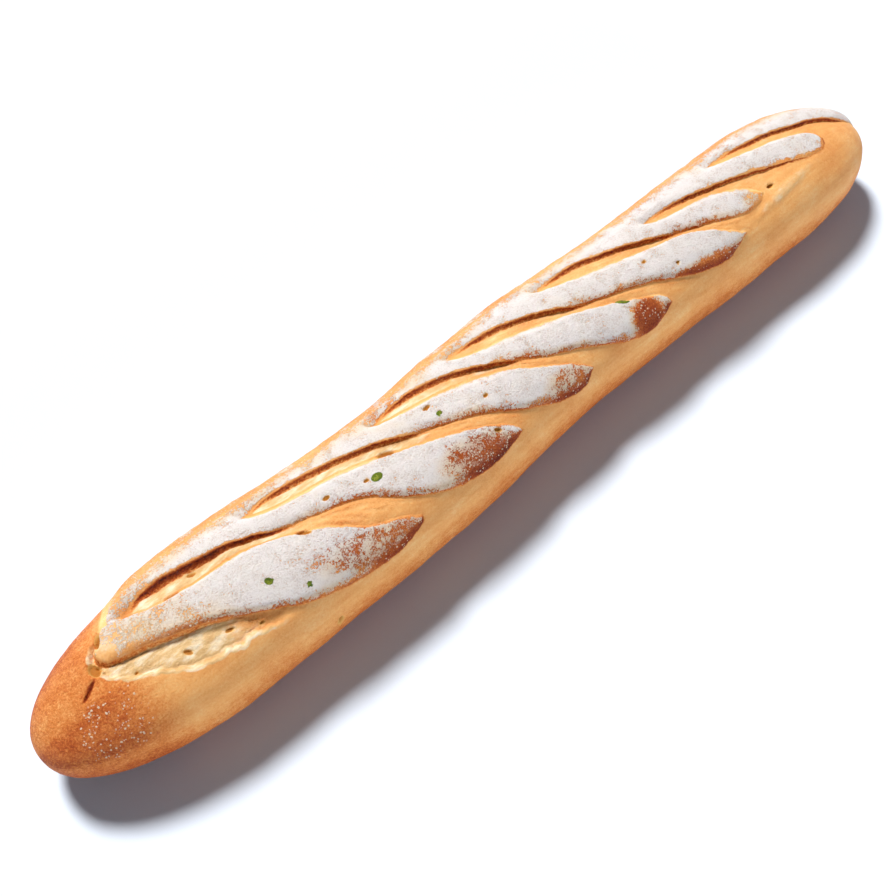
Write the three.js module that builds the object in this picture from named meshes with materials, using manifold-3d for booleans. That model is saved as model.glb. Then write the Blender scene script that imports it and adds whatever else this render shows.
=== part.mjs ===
// A scored baguette: one solid loaf with a flat base, two rounded ends, seven slanting cuts across its top and a
// wider opening torn round the blunt end. Millimetres, +Z up, X along the loaf with the blunt end at -X. The origin
// is on the surface that the loaf rests on, under the middle of the loaf's box.
//
// A place on the crust is a distance along the loaf from the blunt end's tip and an angle round the loaf, in
// degrees: 0 is the top, 90 the front (-Y) and -90 the back (+Y).
import * as THREE from 'three';
import { mergeVertices } from 'three/addons/utils/BufferGeometryUtils.js';
import Module from 'manifold-3d';

const { degToRad, radToDeg, lerp, smoothstep } = THREE.MathUtils;

// The loaf's overall sizes.
const LOAF_LENGTH = 520;
const LOAF_WIDTH = 72; // at its widest, by the blunt end
const LOAF_HEIGHT = 51; // without the rise of the scored crust
const BASE_WIDTH = 42; // of the flat underside
const WIDEST_HEIGHT = 22; // of the loaf's widest line, above the base
const BLUNT_END_ROUNDING = 90; // length over which the blunt end rounds off
const SLIM_END_ROUNDING = 80; // the same at the other end

// Exponents of the superellipses that round the section and the ends: 2 is an ellipse, more is squarer.
const TOP_SQUARENESS = 2.2;
const UNDERSIDE_SQUARENESS = 2.4;
const END_SQUARENESS = 2.2;

// How a hand-shaped loaf strays from a straight bar: [share of the length, millimetres].
const NARROWING = [[0, 0], [0.19, 0], [0.35, 2.2], [0.45, 1.6], [0.69, 4], [0.78, 2.8], [1, 2.8]]; // of half the width
const SWAY = [[0, -1.8], [0.19, -1.8], [0.34, -3.8], [0.56, 3.1], [0.69, 2.2], [0.82, 2.6], [1, 0]]; // towards +Y

// The scored crust on top stands above the smooth crust of the sides.
const CRUST_RISE = 2;
const CRUST_EDGE = 5; // width of the slope at its border, along the crust
const CRUST_BACK_ANGLE = -66;
// Where its front border lies: [share of the length, degrees].
const CRUST_FRONT_ANGLE = [[0, 60], [0.3, 66], [0.43, 69], [0.62, 63], [0.73, 55], [0.81, 40], [1, 28]];

// The cuts. Their middles are evenly spaced between the first and the last, apart from each one's own shift.
const FIRST_CUT_MIDDLE = 115; // from the blunt tip
const LAST_CUT_MIDDLE = 63; // from the slim tip
const CUT_DEPTH = 5.5;
const CUT_HALF_WIDTH = 4.5;
const CUT_LIFT = 1.5; // of a cut's widest level above the crust, so that the cut has a crisp edge
const CUT_LEAN = 0.6; // sideways per depth: the blade goes in under the crust behind the cut and leaves it a lip
const CUT_BEND = 0.31; // share of its turn round the loaf that a cut has made by the middle of its run
const CUT_SKEW = 1; // over 1, a cut is widest past the middle of its line
const CUTS = [
  // millimetres along the loaf from its even place, run along the loaf, degrees where it starts and ends
  { shift: 0, run: 122, start: -27, end: 50 },
  { shift: 10, run: 124, start: -36, end: 56 },
  { shift: 9, run: 104, start: -38, end: 54 },
  { shift: 4, run: 108, start: -40, end: 48 },
  { shift: 3, run: 107, start: -38, end: 40 },
  { shift: 12, run: 105, start: -23, end: 27 },
  { shift: 0, run: 83, start: -34, end: 20 },
];

// The opening that tears round the blunt end, below the first cut: [distance from the blunt tip, degrees].
const OPENING_LINE = [[44, -28], [38, -14], [43, 6], [62, 24], [88, 38], [122, 56]];
const OPENING_HALF_WIDTH = 9;
const OPENING_DEPTH = 5;
const OPENING_SKEW = 1.3; // as the cuts' skew

// How finely the surfaces are divided.
const STATIONS = 84;
const SECTION_SIDES = 40;
const END_SHARE = 0.2; // of the stations, in each rounded end
const CUT_STEPS = 16;
const CUT_SIDES = 8;

const wasm = await Module();
wasm.setup();

// The value at x of a smooth line through [x, value] points.
function profile(points, x) {
  const after = points.findIndex(([at]) => at >= x);
  if (after === 0) return points[0][1];
  const [x0, v0] = points[after - 1];
  const [x1, v1] = points[after];
  return lerp(v0, v1, smoothstep(x, x0, x1));
}

// From 0 at a tip to 1 where the loaf has its full section.
function endFullness(along) {
  const fromEnd = Math.min(along / BLUNT_END_ROUNDING, (LOAF_LENGTH - along) / SLIM_END_ROUNDING, 1);
  return Math.pow(Math.max(0, 1 - Math.pow(1 - fromEnd, END_SQUARENESS)), 1 / END_SQUARENESS);
}

// How far the scored crust stands above the smooth crust.
function crustRise(along, degrees) {
  const slope = radToDeg(CRUST_EDGE / (LOAF_WIDTH / 2));
  const front = profile(CRUST_FRONT_ANGLE, along / LOAF_LENGTH);
  const inFront = smoothstep(front - degrees, 0, slope);
  const behind = smoothstep(degrees - CRUST_BACK_ANGLE, 0, slope);
  return CRUST_RISE * inFront * behind * endFullness(along);
}

// A point of the loaf's skin, or depth below it towards the loaf's middle line.
function onSkin(along, degrees, depth = 0) {
  const halfWidth = LOAF_WIDTH / 2 - profile(NARROWING, along / LOAF_LENGTH);
  const angle = degToRad(degrees);
  const across = Math.sin(angle);
  const up = Math.cos(angle);
  const squareness = up > 0 ? TOP_SQUARENESS : UNDERSIDE_SQUARENESS;
  const flatShare = BASE_WIDTH / 2 / halfWidth;
  const cutOff = Math.pow(1 - Math.pow(flatShare, squareness), 1 / squareness);
  const halfHeight = up > 0 ? LOAF_HEIGHT - WIDEST_HEIGHT : WIDEST_HEIGHT / cutOff;
  const sum = Math.pow(Math.abs(across) / halfWidth, squareness) + Math.pow(Math.abs(up) / halfHeight, squareness);
  const radius = endFullness(along) / Math.pow(sum, 1 / squareness) + crustRise(along, degrees) - depth;
  return new THREE.Vector3(
    along - LOAF_LENGTH / 2,
    profile(SWAY, along / LOAF_LENGTH) - radius * across,
    Math.max(0, WIDEST_HEIGHT + radius * up),
  );
}

// A closed surface with a sphere's grid of rows and columns. pointAt takes the share of the way from pole to pole
// and the angle in radians round the line between the poles.
function closedSurface(rows, columns, pointAt) {
  const surface = new THREE.SphereGeometry(1, columns, rows);
  const position = surface.getAttribute('position');
  for (let i = 0; i < position.count; i++) {
    const row = Math.floor(i / (columns + 1));
    const column = i % (columns + 1) % columns;
    const point = pointAt(row / rows, (column / columns) * 2 * Math.PI);
    position.setXYZ(i, point.x, point.y, point.z);
  }
  surface.deleteAttribute('normal');
  surface.deleteAttribute('uv');
  return mergeVertices(surface, 1e-4);
}

function solidOf(geometry) {
  const vertProperties = geometry.getAttribute('position').array;
  const triVerts = new Uint32Array(geometry.getIndex().array);
  return new wasm.Manifold(new wasm.Mesh({ numProp: 3, vertProperties, triVerts }));
}

function geometryOf(solid) {
  const { vertProperties, triVerts } = solid.getMesh();
  return new THREE.BufferGeometry()
    .setAttribute('position', new THREE.BufferAttribute(vertProperties, 3))
    .setIndex(new THREE.BufferAttribute(triVerts, 1));
}

// The distance along the loaf of a share of its stations, which lie closer together towards the tips.
function stationAt(share) {
  const quarterTurn = Math.PI / 2;
  if (share < END_SHARE) return BLUNT_END_ROUNDING * (1 - Math.cos((share / END_SHARE) * quarterTurn));
  if (share > 1 - END_SHARE)
    return LOAF_LENGTH - SLIM_END_ROUNDING * (1 - Math.cos(((1 - share) / END_SHARE) * quarterTurn));
  const middleShare = (share - END_SHARE) / (1 - 2 * END_SHARE);
  return lerp(BLUNT_END_ROUNDING, LOAF_LENGTH - SLIM_END_ROUNDING, middleShare);
}

function uncutLoaf() {
  return closedSurface(STATIONS, SECTION_SIDES, (share, turn) => onSkin(stationAt(share), -radToDeg(turn)));
}

// The solid that a cut takes away: it dips in under the crust along a line and comes out again at both ends.
function cutter(line, halfWidth, depth, lean, skew) {
  const degreesPerMillimetre = radToDeg(1 / (LOAF_WIDTH / 2));
  return closedSurface(CUT_STEPS, CUT_SIDES, (share, turn) => {
    const place = line.getPoint(share);
    const heading = line.getTangent(share);
    const headingRound = heading.y / degreesPerMillimetre;
    const headingLength = Math.hypot(heading.x, headingRound);
    const swell = Math.pow(Math.sin(Math.PI * Math.pow(share, skew)), 0.8);
    const down = (depth + CUT_LIFT) * swell * Math.cos(turn) - CUT_LIFT;
    const sideways = halfWidth * swell * Math.sin(turn) - lean * down;
    const along = place.x - (sideways * headingRound) / headingLength;
    const degrees = place.y + ((sideways * heading.x) / headingLength) * degreesPerMillimetre;
    return onSkin(along, degrees, down);
  });
}

// The line of a cut: it sets off almost along the loaf, then turns down the loaf's front.
function cutLine({ shift, run, start, end }, index) {
  const evenPlace = lerp(FIRST_CUT_MIDDLE, LOAF_LENGTH - LAST_CUT_MIDDLE, index / (CUTS.length - 1));
  const middle = evenPlace + shift;
  return new THREE.SplineCurve([
    new THREE.Vector2(middle - run / 2, start),
    new THREE.Vector2(middle, lerp(start, end, CUT_BEND)),
    new THREE.Vector2(middle + run / 2, end),
  ]);
}

function openingLine() {
  return new THREE.SplineCurve(OPENING_LINE.map(([along, degrees]) => new THREE.Vector2(along, degrees)));
}

function scoredLoaf() {
  const cutters = CUTS.map((cut, index) => cutter(cutLine(cut, index), CUT_HALF_WIDTH, CUT_DEPTH, CUT_LEAN, CUT_SKEW));
  cutters.push(cutter(openingLine(), OPENING_HALF_WIDTH, OPENING_DEPTH, 0, OPENING_SKEW));
  return geometryOf(cutters.reduce((loaf, tool) => loaf.subtract(solidOf(tool)), solidOf(uncutLoaf())));
}

const crust = new THREE.MeshStandardMaterial({ color: 0xd59a55, roughness: 0.75, metalness: 0 });
const loaf = new THREE.Mesh(scoredLoaf(), crust);
loaf.name = 'loaf';

// The loaf's box is centred over the origin.
const middle = new THREE.Box3().setFromObject(loaf).getCenter(new THREE.Vector3());
loaf.position.set(-middle.x, -middle.y, 0);

const baguette = new THREE.Group();
baguette.add(loaf);

export default baguette;
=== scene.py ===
import math
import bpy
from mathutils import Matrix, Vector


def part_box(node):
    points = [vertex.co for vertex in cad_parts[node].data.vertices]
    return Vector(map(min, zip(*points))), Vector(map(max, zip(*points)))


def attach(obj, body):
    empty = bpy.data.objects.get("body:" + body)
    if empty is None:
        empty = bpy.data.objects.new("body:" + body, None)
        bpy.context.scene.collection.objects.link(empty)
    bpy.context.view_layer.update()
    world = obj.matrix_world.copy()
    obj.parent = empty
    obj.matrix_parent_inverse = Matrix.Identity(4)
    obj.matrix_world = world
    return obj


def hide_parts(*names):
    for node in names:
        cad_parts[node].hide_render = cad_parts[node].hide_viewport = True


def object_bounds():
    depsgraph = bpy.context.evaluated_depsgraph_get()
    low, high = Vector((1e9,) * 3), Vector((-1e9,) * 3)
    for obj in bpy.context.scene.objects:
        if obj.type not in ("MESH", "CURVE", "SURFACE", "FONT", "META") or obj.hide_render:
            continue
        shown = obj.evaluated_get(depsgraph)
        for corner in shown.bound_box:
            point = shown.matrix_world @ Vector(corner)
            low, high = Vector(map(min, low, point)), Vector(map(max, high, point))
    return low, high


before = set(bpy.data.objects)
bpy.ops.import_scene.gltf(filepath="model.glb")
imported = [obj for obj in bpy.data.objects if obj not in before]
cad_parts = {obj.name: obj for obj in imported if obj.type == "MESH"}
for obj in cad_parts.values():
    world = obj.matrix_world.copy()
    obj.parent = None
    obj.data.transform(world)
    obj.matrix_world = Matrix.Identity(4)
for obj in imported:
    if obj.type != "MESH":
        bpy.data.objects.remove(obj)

from types import SimpleNamespace

import bpy
import numpy as np
from mathutils import Vector, kdtree, noise
from mathutils.geometry import delaunay_2d_cdt

# A baguette: the CAD loaf's size and smooth skin, with its crust modelled finely. Floured bands with torn
# edges lie between deep cuts. The bands rise on both sides of the top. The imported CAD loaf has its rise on
# the back only.
#
# Lengths are in millimetres until the mesh is made. A place on the crust is a distance along the loaf from
# its middle (-X is the blunt end) and an angle round it in degrees: 0 is the top, 90 the front (-Y) and -90
# the back (+Y).

CAD_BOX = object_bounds()
LOAF_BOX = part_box("loaf")
MM = 0.001
SEED = 11.0  # moves every noise of the shape

# ---- The loaf's own sizes, as in the CAD model ----
LENGTH = (LOAF_BOX[1][0] - LOAF_BOX[0][0]) / MM
WIDTH = 72.0
HEIGHT = 51.0
BASE_WIDTH = 42.0
WIDEST_HEIGHT = 22.0
BLUNT_END_ROUNDING = 90.0
SLIM_END_ROUNDING = 80.0
TOP_SQUARENESS = 2.2
UNDERSIDE_SQUARENESS = 2.4
END_SQUARENESS = 2.2
NARROWING = [(0, 0), (0.19, 0), (0.35, 2.2), (0.45, 1.6), (0.69, 4), (0.78, 2.8), (1, 2.8)]
SWAY = [(0, -1.8), (0.19, -1.8), (0.34, -3.8), (0.56, 3.1), (0.69, 2.2), (0.82, 2.6), (1, 0)]

ARC = math.radians(1) * WIDTH / 2  # millimetres over the crust in one degree
HALF_ROUND = 180 * ARC  # half way round the flattened crust

# ---- The scored crust ----
BAND_RISE = 1.9  # of a floured band above the smooth crust
BAND_CROWN = 1.2  # more, in the middle of a band
LIP_FLARE = 0.6  # more still, along the lip over a cut
CUT_FLOOR = 0.7  # depth of a cut's crumb below the smooth crust
WALL_RUN = 1.05  # of the browned wall from the lip to the crumb, over the crust
BACK_FADE = (-84, -62)  # degrees between which the bands rise out of the back crust

# Each cut starts behind the crown and runs down the front. Its lip is the edge of the band beyond it, from
# the cut's start to that band's tip. Its rim is the edge of the band on its near side, from the start to that
# band's tip. The first is the opening torn round the blunt end. Points are (millimetres along the loaf,
# degrees round it). Under the lip stands a browned wall: wall is its share of the lip's full height, taper
# the millimetres from the cut's start in which it grows, wall_end the degrees where it ends, char how dark
# it is.
# A wall's colour is darkest just under its lip, partly as painted shade of the lip.
CUTS = [
    {
        "lip": [(-214, -38), (-221, -22), (-218, -6), (-204, 5), (-179, 23), (-154, 46), (-136, 58),
                (-117, 65), (-98, 66), (-84, 60), (-81, 54)],
        "rim": [(-214, -38), (-223, -28), (-224, -6), (-219, 12), (-207, 28), (-196, 42), (-181, 48),
                (-158, 54), (-138, 60)],
        "wall_end": 30,
        "wall": 0.55,
        "taper": 10,
        "char": 0.0,
    },
    {
        "lip": [(-204, -34), (-190, -37), (-160, -25), (-130, -4), (-99, 14), (-84, 34), (-62, 54), (-38, 62),
                (-18, 57)],
        "rim": [(-204, -34), (-188, -21), (-150, -9), (-119, 16), (-104, 35), (-89, 45), (-81, 54)],
        "wall_end": -4,
        "wall": 0.85,
        "taper": 22,
        "char": 1.5,
    },
    {
        "lip": [(-140, -38), (-125, -40), (-87, -25), (-57, 1), (-32, 24), (-12, 46), (8, 62), (22, 66),
                (31, 57)],
        "rim": [(-140, -38), (-128, -28), (-99, -19), (-80, -8), (-68, 4), (-37, 30), (-22, 47), (-18, 57)],
        "wall_end": 1,
        "wall": 0.85,
        "taper": 26,
        "char": 0.75,
    },
    {
        "lip": [(-69, -38), (-58, -42), (-34, -29), (-12, -5), (2, 12), (15, 27), (35, 43), (55, 59),
                (71, 64), (86, 54)],
        "rim": [(-69, -38), (-52, -27), (-34, -16), (-12, 4), (5, 26), (21, 43), (31, 57)],
        "wall_end": 12,
        "wall": 0.85,
        "taper": 26,
        "char": 0.8,
    },
    {
        "lip": [(-20, -41), (-12, -40), (18, -19), (47, 9), (78, 27), (95, 40), (112, 51), (128, 55),
                (145, 46)],
        "rim": [(-20, -41), (-9, -26), (11, -12), (31, 3), (45, 14), (71, 34), (82, 43), (86, 54)],
        "wall_end": 9,
        "wall": 0.85,
        "taper": 28,
        "char": 0.8,
    },
    {
        "lip": [(37, -36), (50, -37), (70, -27), (90, -12), (113, 6), (128, 18), (148, 32), (160, 33),
                (167, 27)],
        "rim": [(37, -36), (58, -20), (90, -2), (112, 10), (126, 23), (138, 38), (145, 46)],
        "wall_end": 6,
        "wall": 0.85,
        "taper": 26,
        "char": 0.85,
    },
    {
        "lip": [(107, -25), (118, -26), (136, -17), (158, -4), (185, 13), (208, 25), (217, 23), (220, 14)],
        "rim": [(107, -25), (118, -17), (141, -8), (153, 3), (162, 14), (167, 27)],
        "wall_end": 25,
        "wall": 0.7,
        "taper": 30,
        "char": 0.8,
    },
    {
        "lip": [(160, -34), (172, -35), (188, -28), (213, -18), (231, -11), (245, 3), (252, 12)],
        "rim": [(160, -34), (176, -24), (201, -13), (214, -6), (219, 4), (220, 14)],
        "wall_end": 5,
        "wall": 0.7,
        "taper": 34,
        "char": 0.9,
    },
]
BACK_EDGE = [(-202, -90), (-207, -62), (-214, -38)]  # from the back crust up to the first cut's start
FAR_EDGE = [(252, 12), (257, 24), (260, 30)]  # from the last band's tip to the slim end

OPENING_DEPTH = 2.4  # of the opening's crumb below the smooth crust

# How far the edges stray sideways from their lines.
RAGGED_LIP = 0.45
RAGGED_RIM = 0.5
RAGGED_OPENING = 2.2
STRAY_SIZE = 5.0  # of one stray, along an edge
OPENING_STRAY_SIZE = 9.0

# ---- Mesh spacings ----
COMB_STEP = 0.45  # along the cuts' edges
COARSE = 2.6  # under the loaf and low on its sides
MEDIUM = 1.25  # on the scored side
FINE = 0.55  # beside the cuts' edges and over the holes and flecks
FINE_REACH = 2.4  # how far the fine points reach either side of an edge
CLEARANCE = 0.28  # least distance of any other point from an edge's own points
WALL_ROWS = (0.33, 0.67, 1.0)  # of the way down a browned wall
WALLED = 0.25  # share of a lip's full height from which its wall has rows of its own
SCORED_SIDE = (-66, 80)  # degrees between which the crust is modelled finely
POLE_POINTS = 9  # that stand for each tip on the flattened crust
TIP_GAP = 4  # between the slim tip and the last of the lines that are kept as edges
SAME_POINT = 1e-3  # distance at which two points of the flattened crust are one


def smoothstep(value, low, high):
    share = np.clip((value - low) / (high - low), 0, 1)
    return share * share * (3 - 2 * share)


def profile(points, at):
    """A smooth line through (place, value) points."""
    value = np.full(np.shape(at), float(points[0][1]))
    for (place, before), (next_place, after) in zip(points, points[1:]):
        value = np.where(at >= place, before + (after - before) * smoothstep(at, place, next_place), value)
    return value


# ---- The skin ----
def end_fullness(along):
    """From 0 at a tip to 1 where the loaf has its full section. along is measured from the blunt tip."""
    from_end = np.minimum(np.minimum(along / BLUNT_END_ROUNDING, (LENGTH - along) / SLIM_END_ROUNDING), 1)
    return np.power(np.maximum(0, 1 - np.power(1 - from_end, END_SQUARENESS)), 1 / END_SQUARENESS)


def superellipse(across, up, half_width, half_height, squareness):
    """The radius in the direction (across, up)."""
    total = np.power(np.abs(across) / half_width, squareness) + np.power(np.abs(up) / half_height, squareness)
    return np.power(total, -1 / squareness)


def skin(x, degrees, lift):
    """Points of the smooth skin, raised by lift away from the loaf's middle line."""
    along = x + LENGTH / 2
    half_width = WIDTH / 2 - profile(NARROWING, along / LENGTH)
    across = np.sin(np.radians(degrees))
    up = np.cos(np.radians(degrees))
    flat_share = BASE_WIDTH / 2 / half_width
    cut_off = np.power(1 - np.power(flat_share, UNDERSIDE_SQUARENESS), 1 / UNDERSIDE_SQUARENESS)
    top = superellipse(across, up, half_width, HEIGHT - WIDEST_HEIGHT, TOP_SQUARENESS)
    underside = superellipse(across, up, half_width, WIDEST_HEIGHT / cut_off, UNDERSIDE_SQUARENESS)
    radius = np.where(up > 0, top, underside) * end_fullness(along) + lift
    y = profile(SWAY, along / LENGTH) - radius * across
    return np.stack([x, y, np.maximum(0, WIDEST_HEIGHT + radius * up)], axis=-1)


def run_over_end():
    """Places along the loaf, and how far each is from the blunt tip when measured over the crust."""
    samples = 4001
    along = LENGTH * (1 - np.cos(np.linspace(0, math.pi, samples))) / 2
    radius = end_fullness(along) * WIDTH / 2
    run = np.concatenate([[0], np.cumsum(np.hypot(np.diff(along), np.diff(radius)))])
    return along - LENGTH / 2, run


PLACES, RUNS = run_over_end()


def flatten(points):
    """(x, degrees) points on the flattened crust, where both directions are millimetres over it."""
    points = np.asarray(points, float)
    return np.stack([np.interp(points[:, 0], PLACES, RUNS), points[:, 1] * ARC], axis=1)


def unflatten(flat):
    return np.interp(flat[:, 0], RUNS, PLACES), flat[:, 1] / ARC


# ---- The cuts' edges ----
def wobble(points, size, layer):
    """Smooth noise from -1 to 1 at points, with bumps about size across."""
    offset = Vector((SEED * layer, -SEED, layer))
    return np.array([noise.noise(Vector(point) / size + offset) for point in points])


def curve(points, step):
    """A smooth curve through points on the flattened crust, in even steps."""
    flat = flatten(points)
    before = np.vstack([2 * flat[0] - flat[1], flat[:-1]])
    ahead = np.vstack([flat[1:], 2 * flat[-1] - flat[-2]])
    slope = (ahead - before) / 2
    steps_between_points = 24
    t = np.linspace(0, 1, steps_between_points, endpoint=False)[:, None]
    leave, leave_slope = 2 * t**3 - 3 * t**2 + 1, t**3 - 2 * t**2 + t
    reach, reach_slope = 3 * t**2 - 2 * t**3, t**3 - t**2
    spans = [
        leave * a + leave_slope * da + reach * b + reach_slope * db
        for a, da, b, db in zip(flat, slope, flat[1:], slope[1:])
    ]
    line = np.vstack(spans + [flat[-1:]])
    length = np.concatenate([[0], np.cumsum(np.hypot(*np.diff(line, axis=0).T))])
    even = np.linspace(0, length[-1], max(2, round(length[-1] / step) + 1))
    return np.stack([np.interp(even, length, line[:, 0]), np.interp(even, length, line[:, 1])], axis=1)


def roughen(line, amount, layer, size=STRAY_SIZE):
    """The same line, strayed sideways by amount, less towards its two ends."""
    heading = np.gradient(line, axis=0)
    sideways = np.stack([-heading[:, 1], heading[:, 0]], axis=1) / np.hypot(*heading.T)[:, None]
    here = np.column_stack([line, np.zeros(len(line))])
    stray = wobble(here, size, layer) + 0.6 * wobble(here, size / 3, layer + 1)
    from_end = np.minimum(np.arange(len(line)), np.arange(len(line))[::-1]) * COMB_STEP
    return line + sideways * (amount * stray * smoothstep(from_end, 0, 5))[:, None]


def soften(values, reach):
    """A running mean over reach millimetres of an edge."""
    window = max(1, round(reach / COMB_STEP))
    padded = np.pad(values, window, mode="edge")
    return np.convolve(padded, np.ones(2 * window + 1) / (2 * window + 1), mode="valid")


class Edge:
    """A line on the flattened crust, with the nearest place on it, and the side, of any other point."""

    def __init__(self, line):
        self.line = line
        self.tree = kdtree.KDTree(len(line))
        for index, point in enumerate(line):
            self.tree.insert((point[0], point[1], 0), index)
        self.tree.balance()

    def nearest(self, points):
        """Signed distances, positive to the left of the line's heading, and the nearest index of the line."""
        found = np.array([self.tree.find((p[0], p[1], 0))[1] for p in points])
        best = np.full(len(points), np.inf)
        side = np.zeros(len(points))
        for shift in (-1, 0):
            first = np.clip(found + shift, 0, len(self.line) - 2)
            start = self.line[first]
            heading = self.line[first + 1] - start
            offset = points - start
            share = np.clip((offset * heading).sum(1) / (heading**2).sum(1), 0, 1)
            gap = offset - heading * share[:, None]
            distance = np.hypot(*gap.T)
            cross = heading[:, 0] * offset[:, 1] - heading[:, 1] * offset[:, 0]
            lean = cross / np.hypot(*heading.T) / np.maximum(np.hypot(*offset.T), 1e-9)
            closer = distance < best - 1e-9
            level = np.abs(distance - best) <= 1e-9
            side = np.where(closer, lean, np.where(level, side + lean, side))
            best = np.where(closer, distance, best)
        return np.where(side >= 0, best, -best), found


def lip_piece(cut, layer):
    """A cut's lip and what it is like at each step."""
    line = roughen(curve(cut["lip"], COMB_STEP), RAGGED_LIP, layer)
    from_start = np.arange(len(line)) * COMB_STEP
    closing = smoothstep(line[:, 1] / ARC, cut["wall_end"] - 12, cut["wall_end"] + 5)
    ear = smoothstep(from_start, 0, cut["taper"]) * (1 - closing)
    return line, {"ear": ear * cut["wall"], "width": 4.2, "round": 0.75, "char": cut["char"], "lip": 1}


def rim_piece(cut, layer):
    """A cut's rim, from the band's tip back to the cut's start, and what it is like at each step."""
    line = roughen(curve(cut["rim"], COMB_STEP), RAGGED_RIM, layer)[::-1]
    closed = 1 - smoothstep(line[:, 1] / ARC, cut["wall_end"] - 14, cut["wall_end"] + 6)
    return line, {"ear": 0, "width": 1.5 + 4.5 * closed, "round": 1 - closed, "char": 0, "lip": 0}


def comb():
    """The one edge that runs down each band and back up the next cut, with its traits at each step.

    ear is the wall's share of the lip's full height, width how far a band's shoulder reaches, round how round
    the shoulder is, char how dark the wall is, and lip is 1 along a lip and 0 along a rim.
    """
    pieces = [(curve(BACK_EDGE, COMB_STEP), {"ear": 0, "width": 16, "round": 0, "char": 0, "lip": 0})]
    for index, cut in enumerate(CUTS):
        pieces.append(lip_piece(cut, 10 + index))
        if index + 1 < len(CUTS):
            pieces.append(rim_piece(CUTS[index + 1], 30 + index))
    pieces.append((curve(FAR_EDGE, COMB_STEP), {"ear": 0, "width": 5, "round": 0, "char": 0, "lip": 1}))
    line = np.vstack([part[:-1] for part, _ in pieces])
    traits = {}
    for name in ("ear", "width", "round", "char", "lip"):
        parts = [np.broadcast_to(given[name], len(part))[:-1] for part, given in pieces]
        traits[name] = soften(np.concatenate(parts).astype(float), 2.0)
    return Edge(line), traits


COMB, TRAITS = comb()
OPENING_RIM = Edge(roughen(curve(CUTS[0]["rim"], COMB_STEP), RAGGED_OPENING, 50, OPENING_STRAY_SIZE))


def cut_openness(x, degrees):
    """From 0 to 1: how much the nearest cut shows bare crumb at this place, rather than golden crust."""
    starts = [cut["lip"][0][0] for cut in CUTS]
    middles = [cut["lip"][len(cut["lip"]) // 2][0] for cut in CUTS]
    crown = [(start + middle) / 2 for start, middle in zip(starts, middles)]
    ends = np.interp(x - degrees * 0.9, crown, [cut["wall_end"] for cut in CUTS])
    return 1 - smoothstep(degrees, ends - 6, ends + 10)


def blob(x, degrees, at, size, turn):
    """From 1 in the middle of an oval spot to 0 at its edge and beyond."""
    along = x - at[0]
    across = (degrees - at[1]) * ARC
    cosine, sine = math.cos(math.radians(turn)), math.sin(math.radians(turn))
    u = (along * cosine + across * sine) / (size[0] / 2)
    v = (across * cosine - along * sine) / (size[1] / 2)
    return np.clip(1 - np.hypot(u, v), 0, 1)


# Holes where gas broke through: place, length and width in millimetres, turn in degrees, depth.
PITS = [
    ((-217, -30), (4.5, 14), 15, 1.8),
    ((-183, -17), (11, 3.4), 28, 2.0),
    ((-127, 10), (9, 3.5), 40, 1.4),
    ((-110, -2), (4.5, 3), 0, 1.0),
    ((-76, -5), (11, 5), 35, 1.6),
    ((-92, 6), (3.6, 2.2), 0, 0.9),
    ((-48, -11), (5.4, 3.2), 0, 1.4),
    ((-24, 16), (3.6, 2.2), 10, 1.0),
    ((-30, 42), (5, 2.6), 40, 1.0),
    ((99, 29), (2.6, 2.2), 0, 1.0),
    ((85, 11), (3.4, 2.4), 0, 0.7),
    ((173, 26), (5.5, 3.4), 10, 1.5),
    ((-172, -26), (5.5, 3.4), 20, 1.0),
    ((-175, 37), (5, 2.6), 10, 0.9),
    ((-163, 47), (3.2, 2), 0, 0.8),
    ((-193, 31), (6, 3), 60, 0.8),
    ((-213, 18), (2.4, 2.4), 0, 0.9),
    ((-134, 86), (5, 7), 0, 0.5),
]
SLOT = ((-224.5, -12), (6, 14), 0, 2.2)  # the hole at the blunt end's torn edge
CREASE = ((-231, 2), (14, 3.2), -42, 1.3)  # the short, dark, sunken fold in the blunt end's crust
FOLD = ((180, 36), (62, 9), -8, 0.9)  # a pale fold of crust, raised rather than sunk
# Bits of green leaf baked in: place, length and width, turn.
FLECKS = [
    ((-151.5, 25), (4.6, 3.6), 60),
    ((-139, 43), (3.4, 1.6), -30),
    ((-87.5, 9), (6.6, 5.2), 0),
    ((-46, 0.5), (3.4, 2.8), 0),
    ((62, 28), (8.5, 2.8), 32),
]


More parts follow.
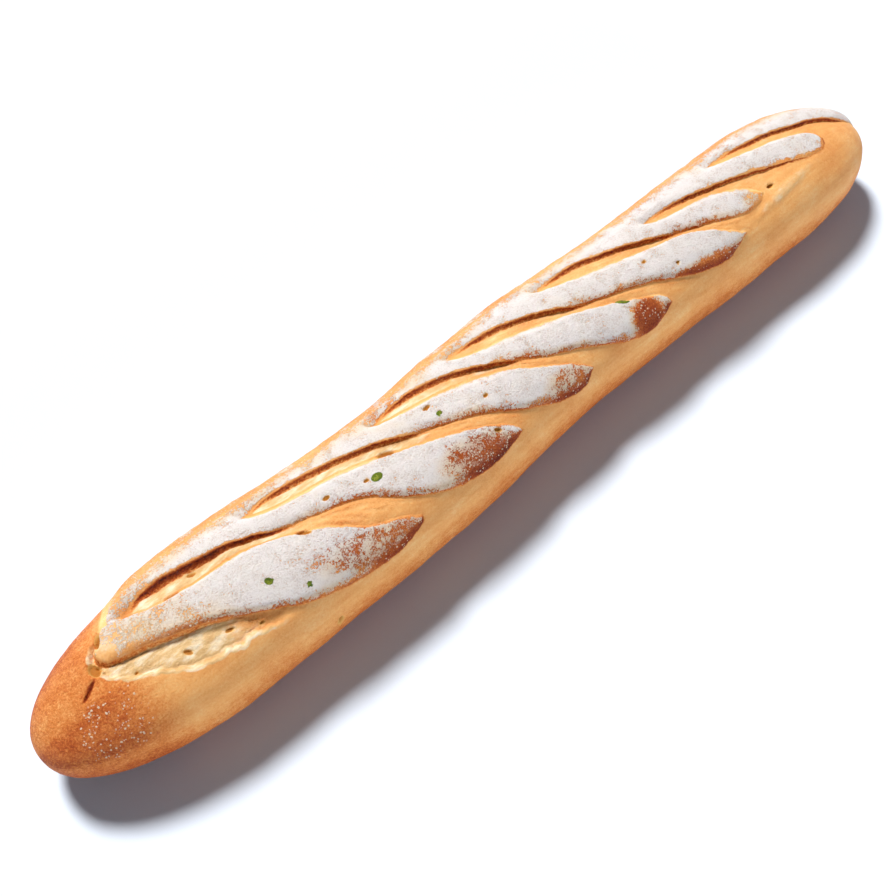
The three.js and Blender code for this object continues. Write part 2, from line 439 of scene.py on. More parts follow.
class Crust:
    """What the crust is like at each of some points of the flattened crust."""

    def __init__(self, flat):
        self.x, self.degrees = unflatten(flat)
        self.skin = skin(self.x, self.degrees, 0)
        edge, self.nearest = COMB.nearest(flat)
        self.edge = -edge  # the bands lie to the right of the comb's heading
        for name, values in TRAITS.items():
            setattr(self, name, values[self.nearest])
        self.opening = -OPENING_RIM.nearest(flat)[0]  # positive inside the opening
        from_pole = np.minimum(flat[:, 0], RUNS[-1] - flat[:, 0])
        self.end_fade = smoothstep(from_pole, 0, 12)
        self.back_fade = smoothstep(self.degrees, *BACK_FADE)
        self.above_base = smoothstep(self.skin[:, 2], 0.5, 8)
        self.outside = smoothstep(-self.edge, 0, WALL_RUN)
        self.far_front = smoothstep(self.x, 110, 170) * smoothstep(self.degrees, -8, 18)  # bands lie low here
        self.find_openings()
        self.find_parts_of_bands()
        self.find_blunt_end()

    def find_openings(self):
        """Shares of the torn opening, of the cuts' bare crumb and of all that is open between the bands."""
        within = smoothstep(self.opening, 0, 1.6)
        self.in_opening = (
            within
            * (1 - smoothstep(self.degrees, 46, 60))
            * (1 - smoothstep(self.x, -172, -138))
            * smoothstep(self.degrees, -46, -32)
        )
        self.in_cut = cut_openness(self.x, self.degrees) * within * smoothstep(self.degrees, -56, -42)
        self.valley = within * smoothstep(self.degrees, -50, -40) * (1 - smoothstep(self.degrees, 44, 60))
        self.moist = 1 - 0.75 * smoothstep(self.x, -150, 110)  # the crumb is palest by the blunt end

    def find_parts_of_bands(self):
        """Shares of a band, its brown edge over a cut, its slope down to a rim and the wall under its lip."""
        self.in_band = smoothstep(self.edge, -0.4, 0.6) * self.back_fade
        self.near_lip = self.lip * (1 - smoothstep(self.edge, 0.6, 6)) * smoothstep(self.degrees, -14, 14)
        self.near_lip *= 1 - 0.8 * smoothstep(self.x, 128, 162)
        self.slope = (1 - self.lip) * (1 - smoothstep(self.edge / self.width, 0.05, 0.75))
        self.wall = np.minimum(self.ear * 2, 1) * np.clip(np.minimum(-self.edge, 1.5 + self.edge) / 0.3, 0, 1)

    def find_blunt_end(self):
        """Shares of the blunt end's smooth cap, of the front of it and of the first band's torn end."""
        self.cap = (1 - smoothstep(self.x, -236, -200)) * (1 - self.in_opening)
        self.cap_front = smoothstep(self.degrees, 8, 25) * (1 - smoothstep(self.degrees, 60, 80))
        self.torn_end = (
            self.in_band * (1 - smoothstep(self.x, -216, -196)) * smoothstep(self.degrees, -42, -26)
        )


def spots(crust, ovals):
    """How strongly the nearest of some soft ovals covers each point."""
    cover = np.zeros(len(crust.x))
    for at, size, turn, amount in ovals:
        cover = np.maximum(cover, amount * smoothstep(blob(crust.x, crust.degrees, at, size, turn), 0, 0.55))
    return cover


def crease(crust):
    """From 0 to 1 in the blunt end's crease."""
    return spots(crust, [(*CREASE[:3], 1.0)])


def holes(crust):
    """From 0 to 1 in each gas hole, and how far the holes and the crease sink the crust."""
    inside = np.zeros(len(crust.x))
    sunk = np.zeros(len(crust.x))
    for at, size, turn, depth in PITS + [SLOT]:
        shape = smoothstep(blob(crust.x, crust.degrees, at, size, turn), 0, 0.5)
        inside = np.maximum(inside, shape)
        sunk = np.maximum(sunk, depth * shape)
    return inside, np.maximum(sunk, CREASE[3] * crease(crust))


def strands(crust):
    """Lengthwise streaks, from -1 to 1, where the crust stretched open beside a cut."""
    along = np.column_stack([crust.nearest * COMB_STEP / 16, crust.edge / 1.5, np.zeros(len(crust.x))])
    near_cut = smoothstep(-crust.edge, 1, 2.5) * (1 - smoothstep(-crust.edge, 9, 18))
    return wobble(along, 1, 7) * crust.valley * near_cut * (1 - smoothstep(crust.x, 130, 185))


def band_and_wall(crust):
    """The height of the bands, of the walls under their lips and of the crumb, without any unevenness."""
    floor = -np.maximum(CUT_FLOOR * crust.in_cut, OPENING_DEPTH * crust.in_opening)
    rise = BAND_RISE * (1 - 0.4 * smoothstep(crust.degrees, 30, 65))
    inward = np.maximum(crust.edge, 0)
    crown = BAND_CROWN * (1 - np.exp(-inward / 8))
    flare = LIP_FLARE * crust.ear * np.exp(-inward / 2.5)
    top = (rise + crown + flare) * crust.back_fade * (1 - 0.5 * crust.far_front)
    foot = floor + (top - floor) * crust.ear
    share = np.clip(inward / crust.width, 0, 1)
    gentle = share**2 * (3 - 2 * share)
    full = np.sqrt(1 - (1 - share) ** 2)
    band = foot + (top - foot) * (gentle + (full - gentle) * crust.round)
    wall = foot + (floor - foot) * np.clip(-crust.edge / WALL_RUN, 0, 1)
    return np.where(crust.edge > 0, band, wall)


def relief(crust):
    """The crust's height above the smooth skin."""
    broad = 0.55 * wobble(crust.skin, 24, 1) + 0.28 * wobble(crust.skin, 9, 2)
    small = 0.16 * wobble(crust.skin, 3.6, 3) + 0.08 * wobble(crust.skin, 1.7, 4)
    scored = np.maximum(smoothstep(crust.edge, 0, 3) * crust.back_fade, crust.in_opening)
    torn = 0.55 * wobble(crust.skin, 8, 5) + 0.25 * wobble(crust.skin, 2.6, 6)
    height = band_and_wall(crust) + FOLD[3] * smoothstep(blob(crust.x, crust.degrees, *FOLD[:3]), 0, 0.8)
    height += (broad + small * (0.35 + 0.65 * scored)) * crust.above_base
    height += crust.in_opening * crust.outside * torn
    height += 0.5 * strands(crust)
    return (height - holes(crust)[1]) * crust.end_fade


# ---- The mesh ----
def rows_of_points(spacing):
    """Staggered rings of points round the loaf, about spacing apart both ways."""
    count = round(RUNS[-1] / spacing)
    rings = []
    for ring in range(1, count):
        run = RUNS[-1] * ring / count
        place = np.interp(run, RUNS, PLACES)
        girth = 2 * HALF_ROUND * end_fullness(place + LENGTH / 2)
        sides = max(8, round(girth / spacing))
        around = (np.arange(sides) + 0.25 + 0.5 * (ring % 2)) / sides
        rings.append(np.stack([np.full(sides, run), HALF_ROUND * (2 * around - 1)], axis=1))
    return np.vstack(rings)


def reach_of(points):
    """How far each point is from anything that needs fine modelling."""
    x, degrees = unflatten(points)
    reach = np.minimum(np.abs(COMB.nearest(points)[0]), np.abs(OPENING_RIM.nearest(points)[0]))
    for at, size, turn, *_ in PITS + [SLOT, CREASE] + FLECKS:
        reach = np.where(blob(x, degrees, at, size, turn) > 0, 0, reach)
    return reach


def wall_rows():
    """Points down the browned walls under the lips, but for those that another edge comes too close to."""
    line = COMB.line
    heading = np.gradient(line, axis=0)
    outward = np.stack([-heading[:, 1], heading[:, 0]], axis=1) / np.hypot(*heading.T)[:, None]
    least_share = 0.85
    rows = []
    for share in WALL_ROWS:
        row = (line + outward * WALL_RUN * share)[TRAITS["ear"] > WALLED]
        rows.append(row[COMB.nearest(row)[0] > least_share * WALL_RUN * share])
    return np.vstack(rows)


def seam_and_poles():
    """The two edges of the flattened crust, which meet under the loaf, and its two ends."""
    runs = np.linspace(0, RUNS[-1], round(RUNS[-1] / COARSE))[1:-1]
    sides = [np.stack([runs, np.full(len(runs), edge)], axis=1) for edge in (-HALF_ROUND, HALF_ROUND)]
    around = np.linspace(-HALF_ROUND, HALF_ROUND, POLE_POINTS)
    poles = [np.stack([np.full(POLE_POINTS, run), around], axis=1) for run in (0, RUNS[-1])]
    return np.vstack(sides + poles)


def crust_points():
    """All the points of the flattened crust but those of its edges."""
    coarse, medium, fine = (rows_of_points(spacing) for spacing in (COARSE, MEDIUM, FINE))
    low, high = SCORED_SIDE[0] * ARC, SCORED_SIDE[1] * ARC
    on_base = (coarse[:, 1] < low) | (coarse[:, 1] > high)
    near_seam = np.abs(coarse[:, 1]) > HALF_ROUND - COARSE / 2
    coarse = coarse[on_base & ~near_seam]
    medium = medium[(medium[:, 1] >= low) & (medium[:, 1] <= high)]
    medium = medium[reach_of(medium) > FINE_REACH]
    in_reach = (fine[:, 1] >= low - FINE_REACH) & (fine[:, 1] <= high + FINE_REACH)
    fine = fine[in_reach]
    fine = fine[reach_of(fine) <= FINE_REACH]
    points = np.vstack([coarse, medium, fine])
    edge, nearest = COMB.nearest(points)
    wall = np.where(TRAITS["ear"][nearest] > WALLED, WALL_RUN * WALL_ROWS[-1], 0)
    clear = (edge < -CLEARANCE) | (edge > wall + CLEARANCE)
    clear &= np.abs(OPENING_RIM.nearest(points)[0]) > CLEARANCE
    return points[clear]


def spread(flat):
    """Flattened points, with the ends stretched lengthwise as they are sideways, to keep triangles' shape."""
    least_fullness = 0.04
    middles = (PLACES[1:] + PLACES[:-1]) / 2 + LENGTH / 2
    steps = np.diff(RUNS) / np.maximum(end_fullness(middles), least_fullness)
    stretched = np.concatenate([[0], np.cumsum(steps)])
    return np.stack([np.interp(flat[:, 0], RUNS, stretched), flat[:, 1]], axis=1)


def triangulate():
    """The flattened crust's points and triangles, with the cuts' edges kept as edges."""
    apart_from_comb = OPENING_RIM.line[2:]  # the rim starts where the first lip does
    lines = [line[line[:, 0] < RUNS[-1] - TIP_GAP] for line in (COMB.line, apart_from_comb)]
    points = np.vstack(lines + [wall_rows(), seam_and_poles(), crust_points()])
    edges = []
    first = 0
    for line in lines:
        edges += [(first + step, first + step + 1) for step in range(len(line) - 1)]
        first += len(line)
    corners = [Vector(point) for point in spread(points)]
    verts, _, faces, origins, _, _ = delaunay_2d_cdt(corners, edges, [], 0, 1e-5, True)
    back = spread_back()
    made = np.array([points[o[0]] if o else back(v) for v, o in zip(verts, origins)])
    return made, np.array([list(face) for face in faces])


def spread_back():
    """The way back from spread() for a point that the triangulation added where two edges cross."""
    grid = np.stack([RUNS, np.zeros(len(RUNS))], axis=1)
    stretched = spread(grid)[:, 0]
    return lambda point: (np.interp(point[0], stretched, RUNS), point[1])


def closed_mesh(points, faces):
    """Joins the seam and the poles, and leaves out triangles that this closes."""
    keys = np.round(points / SAME_POINT).astype(np.int64)
    _, first, same = np.unique(keys, axis=0, return_index=True, return_inverse=True)
    faces = same.reshape(-1)[faces]
    whole = (faces[:, 0] != faces[:, 1]) & (faces[:, 1] != faces[:, 2]) & (faces[:, 2] != faces[:, 0])
    return first, faces[whole][:, ::-1]


def centred(points):
    """The same points with the smooth skin's box over the middle of the CAD loaf's box."""
    grid_x, grid_degrees = np.meshgrid(np.linspace(-LENGTH / 2, LENGTH / 2, 521), np.arange(-180, 181, 2))
    y = skin(grid_x, grid_degrees, 0)[..., 1]
    shift = [
        (LOAF_BOX[0][0] + LOAF_BOX[1][0]) / 2 / MM,
        (LOAF_BOX[0][1] + LOAF_BOX[1][1]) / 2 / MM - (y.min() + y.max()) / 2,
        LOAF_BOX[0][2] / MM,
    ]
    return points + shift


# ---- What the material needs to know at each point ----
# How baked each kind of crust is, from 0 for pale dough to MOST_BAKED.
SIDE_BAKE = 0.45
BAND_BAKE = 0.5
WALL_BAKE = 0.54
CAP_BAKE = 0.44  # more than the sides

# Where a band's crust browned: place, length and width, turn, how much.
BROWNED = [
    ((-104, 50), (84, 26), 22, 0.8),
    ((-42, 46), (62, 30), 25, 1.0),
    ((16, 53), (42, 26), 25, 0.8),
    ((69, 49), (24, 26), 60, 1.1),
    ((84, 56), (18, 14), 25, 0.6),
    ((118, 47), (62, 15), 12, 0.55),
    ((-60, -38), (26, 12), 10, 0.35),
]
# Where it has little flour: place, length and width, turn, how much is missing.
BARE = [
    ((-206, 0), (84, 84), 60, 0.34),
    ((-220, -4), (56, 76), 60, 0.55),
    ((-230, -4), (36, 60), 60, 0.8),
    ((-198, 14), (44, 10), 36, 0.5),
    ((-104, 52), (84, 24), 22, 0.52),
    ((-42, 48), (60, 28), 25, 0.6),
    ((16, 55), (42, 24), 25, 0.42),
    ((69, 49), (26, 28), 60, 0.8),
    ((84, 56), (18, 14), 25, 0.5),
    ((118, 48), (62, 14), 12, 0.65),
    ((160, 29), (26, 20), 0, 0.5),
]


def bake_on_bands(crust):
    """Browner at a band's tip and along its lip, paler on its slope and at the first band's torn end."""
    bake_and_shade = BAND_BAKE - 0.2 * crust.torn_end + 1.05 * spots(crust, BROWNED) + 0.75 * crust.near_lip
    return bake_and_shade - 0.35 * crust.slope + 0.2 * smoothstep(-crust.degrees, 40, 60)


def bake_and_shade_on_walls(crust):
    """Darkest just under the lip: partly a burnt top edge, partly painted shade of the lip over the wall."""
    return WALL_BAKE + (0.45 + 0.95 * crust.char) * (1 - 0.85 * smoothstep(-crust.edge, 0.25, 1.15))


def bake_and_shade_everywhere(crust):
    """The sides darken towards the base, in front and behind, partly as painted shade. The cap is darker
    still.
    """
    # Darker low in front: partly a browner baked underside, partly painted shade near the floor.
    bake_and_shade = SIDE_BAKE + 0.47 * smoothstep(crust.degrees, 70, 104) + 0.7 * smoothstep(crust.degrees, 104, 122)
    # Painted shade on the upper back, where the key light falls most; lower down, partly baked, partly
    # painted shade.
    bake_and_shade += 0.45 * smoothstep(-crust.degrees, 40, 70) + 0.5 * smoothstep(-crust.degrees, 76, 112)
    # The cap's front is browner than its top, whose paler tone is partly a painted highlight.
    bake_and_shade += CAP_BAKE * crust.cap * (1 + 0.8 * crust.cap_front) + 0.1 * crust.in_opening
    bake_and_shade += 0.3 * strands(crust)
    # The bands take their own bake; the crease's darker colour is painted shade in the fold.
    bake_and_shade += (bake_on_bands(crust) - bake_and_shade) * crust.in_band + 1.1 * crease(crust)
    return bake_and_shade + (bake_and_shade_on_walls(crust) - bake_and_shade) * crust.wall


def crumb_cover(crust):
    """Bare crumb: in the cuts and the opening, on its rim, on the first band's torn end and on the fold."""
    cuts = 0.85 * crust.in_cut * crust.moist**2 + 0.12 * crust.valley
    cuts = crust.outside * smoothstep(-crust.edge, 1, 1.9) * cuts
    whitest = 1 - 0.5 * smoothstep(crust.x, -196, -168)
    # Less crumb near the lip lets golden crust show there, as painted shade under the lip.
    opening = whitest * crust.in_opening * (0.35 + 0.65 * smoothstep(-crust.edge, 1, 6))
    rim = (1 - smoothstep(np.abs(crust.opening), 0.5, 1.5)) * smoothstep(crust.degrees, -40, -24)
    rim *= (1 - smoothstep(crust.x, -168, -146)) * crust.outside
    fold = spots(crust, [(*FOLD[:3], 0.5)])
    return np.maximum.reduce([cuts, opening, 0.8 * rim, 0.4 * crust.torn_end, fold]) * (1 - crust.wall)


def band_flour(crust):
    """Flour on the bands, with a ragged edge, thin along the lips, the slopes and the browned tips."""
    ragged = crust.edge + (0.5 + 1.5 * crust.far_front) * wobble(crust.skin, 4, 8)
    flour = smoothstep(ragged, -0.2, 1 + 2.5 * crust.far_front) * (1 - 0.55 * crust.near_lip)
    flour *= 1 - 0.75 * crust.slope * crust.moist
    flour *= (1 - spots(crust, BARE)) * smoothstep(crust.degrees, -64, -28)
    return flour * (1 - 0.25 * smoothstep(crust.degrees, 40, 62))


def back_dusting(crust):
    """Thin patches of flour below the bands on the back."""
    on_back = smoothstep(-crust.degrees, 40, 56) * (1 - smoothstep(-crust.degrees, 72, 104))
    return 0.7 * on_back * np.clip(wobble(crust.skin, 13, 9) + 0.25, 0, 1) * (1 - crust.cap)


def cap_specks(crust):
    """So little flour on the front of the blunt end's cap that only specks show."""
    specks = 0.31 * crust.cap_front * smoothstep(crust.x, -250, -240) * (1 - smoothstep(crust.x, -226, -212))
    return specks * (1 - crust.in_opening)


def fields(crust):
    """The values that the material reads at each point. All but the bake and shade run from 0 to about 1."""
    return {
        "bake_and_shade": bake_and_shade_everywhere(crust),
        "flour": np.maximum.reduce([band_flour(crust), back_dusting(crust), cap_specks(crust)]),
        "crumb": crumb_cover(crust),
        "leaf": spots(crust, [(*fleck, 1.0) for fleck in FLECKS]),
        "hole": holes(crust)[0],
        "wall": crust.wall,
    }


# ---- The material ----
def srgb(red, green, blue):
    """A colour for a socket, from the values that a screen shows."""
    linear = [((c / 255 + 0.055) / 1.055) ** 2.4 if c > 10 else c / 255 / 12.92 for c in (red, green, blue)]
    return (*linear, 1.0)


NOISE_CONTRAST = 2.4


class Material:
    """A material whose nodes are made by short calls, each of which gives back its output."""

    def __init__(self, name):
        self.made = bpy.data.materials.new(name)
        self.made.use_nodes = True
        self.tree = self.made.node_tree
        self.shader = self.tree.nodes["Principled BSDF"]

    def set(self, socket, value):
        if isinstance(value, bpy.types.NodeSocket):
            self.tree.links.new(value, socket)
        else:
            socket.default_value = value

    def node(self, kind, inputs, **settings):
        node = self.tree.nodes.new(kind)
        for name, value in settings.items():
            setattr(node, name, value)
        for name, value in inputs.items():
            self.set(node.inputs[name], value)
        return node

    def field(self, name):
        return self.node("ShaderNodeAttribute", {}, attribute_name=name).outputs["Fac"]

    def coordinates(self, stretch=(1, 1, 1)):
        """The object's own coordinates in millimetres, divided by stretch."""
        scale = tuple(1 / MM / s for s in stretch)
        place = self.node("ShaderNodeTexCoord", {}).outputs["Object"]
        return self.node("ShaderNodeMapping", {"Vector": place, "Scale": scale}).outputs["Vector"]

    def noise(self, coordinates, size, detail=2.0, rough=0.5):
        """Noise from about -0.5 to 0.5, with bumps about size across."""
        inputs = {"Vector": coordinates, "Scale": 1 / size, "Detail": detail, "Roughness": rough}
        fac = self.node("ShaderNodeTexNoise", inputs).outputs["Fac"]
        return self.math("MULTIPLY_ADD", fac, NOISE_CONTRAST, -NOISE_CONTRAST / 2)

    def dots(self, coordinates, spacing, density, raggedness):
        """Scattered ragged specks: 1 on them and 0 off them, more of them where density nears 1."""
        inputs = {"Vector": coordinates, "Scale": 1 / spacing}
        cells = self.node("ShaderNodeTexVoronoi", inputs, feature="F1")
        chance, shrink, _ = self.node("ShaderNodeSeparateColor", {"Color": cells.outputs["Color"]}).outputs
        distance = self.sum(cells.outputs["Distance"], self.times(shrink, 0.3), self.times(raggedness, 0.5))
        near = self.step(distance, 0.6, 0.45)
        chosen = self.step(self.math("ADD", chance, density), 0.98, 1.08)
        return self.math("MULTIPLY", near, chosen)

    def math(self, operation, first, second=0.0, third=0.0):
        return self.node("ShaderNodeMath", {0: first, 1: second, 2: third}, operation=operation).outputs[0]

    def sum(self, *values):
        total = values[0]
        for value in values[1:]:
            total = self.math("ADD", total, value)
        return total

    def times(self, value, amount):
        return self.math("MULTIPLY", value, amount)

    def step(self, value, low, high):
        inputs = {"Value": value, "From Min": low, "From Max": high}
        return self.node("ShaderNodeMapRange", inputs, interpolation_type="SMOOTHSTEP").outputs["Result"]

    def ramp(self, value, stops):
        node = self.node("ShaderNodeValToRGB", {"Fac": value})
        elements = node.color_ramp.elements
        while len(elements) < len(stops):
            elements.new(1.0)
        for element, (place, colour) in zip(elements, stops):
            element.position = place
            element.color = srgb(*colour)
        return node.outputs["Color"]

    def mix(self, share, first, second):
        node = self.node("ShaderNodeMix", {}, data_type="RGBA")
        self.set(node.inputs["Factor"], share)
        self.set(node.inputs[6], first)
        self.set(node.inputs[7], second)
        return node.outputs[2]

    def blend(self, share, first, second):
        """As mix, for plain values."""
        node = self.node("ShaderNodeMix", {}, data_type="FLOAT")
        self.set(node.inputs["Factor"], share)
        self.set(node.inputs[2], first)
        self.set(node.inputs[3], second)
        return node.outputs[0]


MOST_BAKED = 3.0  # the darkest of BAKE_COLOURS
BAKE_COLOURS = [
    (0.0, (252, 214, 152)),
    (0.14, (243, 176, 104)),
    (0.28, (224, 134, 62)),
    (0.43, (196, 94, 32)),
    (0.6, (162, 62, 16)),
    (0.8, (114, 32, 8)),
    (1.0, (60, 16, 10)),
]
CRUMB_COLOURS = [(0.1, (208, 162, 104)), (0.5, (230, 193, 138)), (0.9, (248, 231, 200))]
FLOUR_COLOURS = [(0.1, (217, 207, 202)), (0.6, (243, 239, 237))]
THIN_FLOUR = (242, 221, 194)
# A gas hole's colour darkens towards its middle as painted shade of the hollow.
HOLE_COLOURS_WITH_SHADE = [(0.3, (240, 188, 106)), (1.0, (188, 118, 42))]
LEAF_COLOURS = [(0.2, (74, 98, 30)), (0.6, (122, 136, 38)), (0.9, (190, 186, 76))]

FLOUR_OPACITY = 0.92
FLOUR_ROUGHNESS = 0.92
CRUST_ROUGHNESS = 0.56
CRUMB_ROUGHNESS = 0.42
WALL_ROUGHNESS = 0.46
SPECULAR = 0.22
SUBSURFACE = 0.06
SUBSURFACE_RADIUS = (0.003, 0.0014, 0.0006)
BUMP_HEIGHT = 0.5 * MM


def crust_noises(crust):
    """The noises that several looks of the crust share."""
    place = crust.coordinates()
    return SimpleNamespace(
        patches=crust.noise(place, 26, 3),
        mottle=crust.noise(place, 6, 3),
        speckle=crust.noise(place, 2.2, 5, 0.7),
        grain=crust.noise(place, 0.9, 3, 0.7),
        dust=crust.noise(place, 0.75, 3, 0.75),
    )


def baked_and_shaded_colour(crust, noises):
    """The bare crust's colour from its bake and painted shade, more uneven where it is darker and blistered
    on the walls.
    """
    baked_and_shaded = crust.field("bake_and_shade")
    streaks = crust.noise(crust.coordinates((18, 2.2, 2.2)), 1, 3)
    blisters = crust.noise(crust.coordinates((2.0, 0.9, 1.1)), 1, 2, 0.6)
    fine = crust.sum(crust.times(noises.mottle, 0.3), crust.times(noises.speckle, 0.35))
    fine = crust.sum(fine, crust.times(noises.grain, 0.8))
    unevenness = crust.math("MULTIPLY_ADD", crust.step(baked_and_shaded, 0.2, 1.2), 0.95, 0.15)
    bake_and_shade = crust.sum(
        baked_and_shaded,
        crust.times(noises.patches, 0.26),
        crust.times(streaks, 0.17),
        crust.math("MULTIPLY", blisters, crust.field("wall")),
        crust.math("MULTIPLY", fine, unevenness),
    )
    return crust.ramp(crust.math("DIVIDE", bake_and_shade, MOST_BAKED), BAKE_COLOURS)


def crumb_look(crust, noises):
    """How much crumb shows, and its colour."""
    web = crust.noise(crust.coordinates((9, 3.5, 3.5)), 1, 4, 0.6)
    cover = crust.step(crust.sum(crust.field("crumb"), crust.times(noises.mottle, 0.4)), 0.15, 0.85)
    return cover, crust.ramp(crust.sum(0.55, crust.times(web, 0.9)), CRUMB_COLOURS)


def flour_cover(crust, noises):
    """A broken film of flour where there is much of it, and specks where there is little."""
    flour = crust.field("flour")
    broken = crust.sum(flour, crust.times(noises.speckle, 0.8), noises.dust, crust.times(noises.mottle, 0.6))
    film = crust.math("MULTIPLY", crust.step(broken, 0.32, 0.62), crust.step(flour, 0.31, 0.45))
    density = crust.sum(flour, crust.times(noises.mottle, 0.7))
    specks = crust.dots(crust.coordinates(), 0.95, density, noises.dust)
    return crust.math("MAXIMUM", film, crust.math("MULTIPLY", specks, crust.step(flour, 0.02, 0.2)))


def flour_colour(crust, noises):
    """White with greyer clumps, and warmer where the flour lies thin."""
    clumps = crust.sum(0.5, crust.times(noises.mottle, 0.5), crust.times(noises.dust, 0.8))
    thick = crust.step(crust.sum(crust.field("flour"), crust.times(noises.patches, 0.6)), 0.35, 0.95)
    return crust.mix(thick, srgb(*THIN_FLOUR), crust.ramp(clumps, FLOUR_COLOURS))


def hole_look(crust):
    """How much of a gas hole shows, and its colour, which darkens towards its middle as painted shade."""
    hole = crust.field("hole")
    return crust.step(hole, 0.1, 0.6), crust.ramp(hole, HOLE_COLOURS_WITH_SHADE)


def leaf_look(crust, noises):
    """How much leaf shows, with a ragged edge, and its colour."""
    leaf = crust.field("leaf")
    ragged = crust.math("MULTIPLY_ADD", leaf, noises.speckle, leaf)
    return crust.step(ragged, 0.1, 0.3), crust.ramp(crust.sum(0.5, noises.speckle), LEAF_COLOURS)


def crust_roughness(crust, noises, flour, crumb):
    bare = crust.sum(CRUST_ROUGHNESS, crust.times(noises.mottle, 0.15))
    rough = crust.blend(crumb, crust.blend(flour, bare, FLOUR_ROUGHNESS), CRUMB_ROUGHNESS)
    return crust.blend(crust.field("wall"), rough, WALL_ROUGHNESS)


def crust_bump(crust, noises, flour):
    """Lumps in the flour, and a grit on the bare crust that is coarser where its bake and painted shade are
    darker.
    """
    lumps = crust.sum(crust.times(flour, 0.6), crust.times(noises.speckle, 0.7))
    lumps = crust.sum(lumps, crust.times(noises.dust, 0.9))
    grit = crust.math("MULTIPLY", noises.grain, crust.field("bake_and_shade"))
    height = crust.blend(flour, crust.sum(grit, crust.times(noises.mottle, 0.2)), lumps)
    bump = crust.node("ShaderNodeBump", {"Height": height, "Strength": 0.9, "Distance": BUMP_HEIGHT})
    return bump.outputs["Normal"]


def baguette_crust():
    """Baked crust, with crumb, flour, gas holes and bits of leaf over it in turn."""
    crust = Material("baguette_crust")
    noises = crust_noises(crust)
    flour = flour_cover(crust, noises)
    crumb, crumb_colour = crumb_look(crust, noises)
    hole, hole_colour = hole_look(crust)
    leaf, leaf_colour = leaf_look(crust, noises)

    colour = crust.mix(crumb, baked_and_shaded_colour(crust, noises), crumb_colour)
    colour = crust.mix(crust.times(flour, FLOUR_OPACITY), colour, flour_colour(crust, noises))
    colour = crust.mix(hole, colour, hole_colour)
    colour = crust.mix(leaf, colour, leaf_colour)

    sockets = crust.shader.inputs
    crust.set(sockets["Base Color"], colour)
    crust.set(sockets["Roughness"], crust_roughness(crust, noises, flour, crumb))
    crust.set(sockets["Normal"], crust_bump(crust, noises, flour))
    sockets["Specular IOR Level"].default_value = SPECULAR
    sockets["Subsurface Weight"].default_value = SUBSURFACE
    sockets["Subsurface Radius"].default_value = SUBSURFACE_RADIUS
    sockets["Subsurface Scale"].default_value = 1.0
    return crust.made


# ---- The loaf ----
def baguette_loaf():
    flat, faces = triangulate()
    crust = Crust(flat)
    points = skin(crust.x, crust.degrees, relief(crust))
    first, faces = closed_mesh(points, faces)
    points = centred(points[first]) * MM
    mesh = bpy.data.meshes.new("baguette_crust")
    mesh.from_pydata(points.tolist(), [], faces.tolist())
    mesh.shade_smooth()
    for name, values in fields(crust).items():
        attribute = mesh.attributes.new(name, "FLOAT", "POINT")
        attribute.data.foreach_set("value", values[first].astype(np.float32))
    mesh.materials.append(baguette_crust())
    loaf = bpy.data.objects.new("baguette_crust", mesh)
    bpy.context.scene.collection.objects.link(loaf)
    return loaf


loaf = baguette_loaf()
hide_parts("loaf")
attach(loaf, "root")


# ---- The studio ----
FLOOR_SIZE = 30.0
FLOOR_DROP = 0.0002  # below the loaf's base
FLOOR_COLOUR = (230, 239, 251)
HORIZON_LIGHT = 1.12
OVERHEAD_LIGHT = 0.1
HORIZON_BAND = (0.05, 0.2)  # heights between which the first gives way to the second
SKY_TINT = (0.76, 0.87, 1.0, 1.0)
# Name, azimuth, elevation, width in degrees, strength, colour.
LIGHTS = [
    ("key", 174, 54, 14, 4.5, (1.0, 0.99, 0.98)),
    ("fill", -8, 9, 20, 1.2, (1.0, 0.98, 0.95)),
]


def floor():
    studio = Material("studio_floor")
    studio.shader.inputs["Base Color"].default_value = srgb(*FLOOR_COLOUR)
    studio.shader.inputs["Roughness"].default_value = 0.9
    studio.shader.inputs["Specular IOR Level"].default_value = 0.0
    mesh = bpy.data.meshes.new("studio_floor")
    half = FLOOR_SIZE / 2
    corners = [(-half, -half, 0), (half, -half, 0), (half, half, 0), (-half, half, 0)]
    mesh.from_pydata(corners, [], [(0, 1, 2, 3)])
    mesh.materials.append(studio.made)
    plane = bpy.data.objects.new("studio_floor", mesh)
    plane.location.z = CAD_BOX[0][2] - FLOOR_DROP
    bpy.context.scene.collection.objects.link(plane)


def soft_light(name, azimuth, elevation, spread, strength, colour):
    """A far soft light, spread degrees wide. Azimuth 0 is at -Y and 90 at +X, as for the camera."""
    data = bpy.data.lights.new(name, "SUN")
    data.angle = math.radians(spread)
    data.energy = strength
    data.color = colour
    light = bpy.data.objects.new(name, data)
    aim(light, direction(azimuth, elevation), Vector((0, 0, 0)))
    bpy.context.scene.collection.objects.link(light)


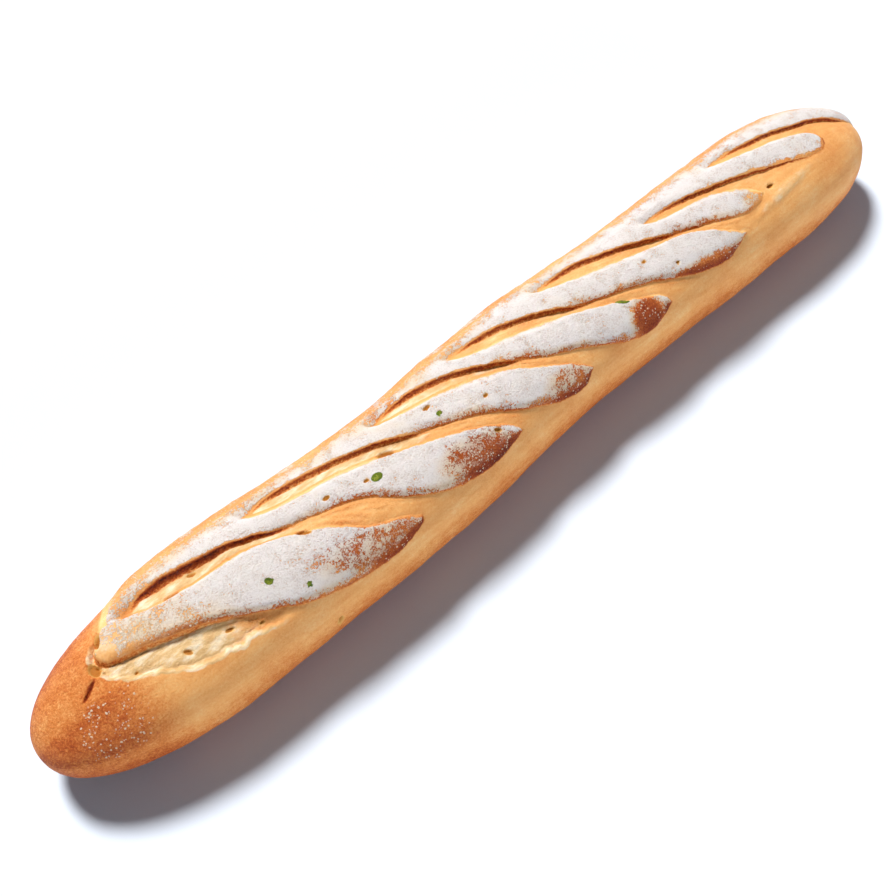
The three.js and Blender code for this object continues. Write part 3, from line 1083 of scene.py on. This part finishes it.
def direction(azimuth, elevation):
    turn, tilt = math.radians(azimuth), math.radians(elevation)
    return Vector((math.sin(turn) * math.cos(tilt), -math.cos(turn) * math.cos(tilt), math.sin(tilt)))


def aim(thing, place, target):
    thing.location = place
    thing.rotation_euler = (target - place).to_track_quat("-Z", "Y").to_euler()


def surroundings():
    """A studio that is bright low down all round and dimmer overhead."""
    world = bpy.data.worlds.new("studio")
    bpy.context.scene.world = world
    world.use_nodes = True
    tree = world.node_tree
    place = tree.nodes.new("ShaderNodeTexCoord")
    parts = tree.nodes.new("ShaderNodeSeparateXYZ")
    upward = tree.nodes.new("ShaderNodeMapRange")
    upward.interpolation_type = "SMOOTHSTEP"
    upward.inputs["From Min"].default_value = HORIZON_BAND[0]
    upward.inputs["From Max"].default_value = HORIZON_BAND[1]
    upward.inputs["To Min"].default_value = HORIZON_LIGHT
    upward.inputs["To Max"].default_value = OVERHEAD_LIGHT
    tree.links.new(place.outputs["Generated"], parts.inputs[0])
    tree.links.new(parts.outputs["Z"], upward.inputs["Value"])
    background = tree.nodes["Background"]
    background.inputs["Color"].default_value = SKY_TINT
    tree.links.new(upward.outputs["Result"], background.inputs["Strength"])


floor()
for settings in LIGHTS:
    soft_light(*settings)
surroundings()

# ---- The camera ----
CAMERA_TARGET = Vector((-0.04292, -0.00425, 0.025))
CAMERA_AZIMUTH = -42.66
CAMERA_ELEVATION = 57
CAMERA_DISTANCE = 0.5696
FOCAL_LENGTH = 50
SENSOR_WIDTH = 36
NEAREST_SEEN = 0.01
lens = bpy.data.cameras.new("camera")
lens.lens = FOCAL_LENGTH
lens.sensor_width = SENSOR_WIDTH
lens.clip_start = NEAREST_SEEN
camera = bpy.data.objects.new("camera", lens)
aim(camera, CAMERA_TARGET + direction(CAMERA_AZIMUTH, CAMERA_ELEVATION) * CAMERA_DISTANCE, CAMERA_TARGET)
bpy.context.scene.collection.objects.link(camera)
bpy.context.scene.camera = camera
bpy.context.scene.view_settings.view_transform = "Standard"

bpy.context.view_layer.update()
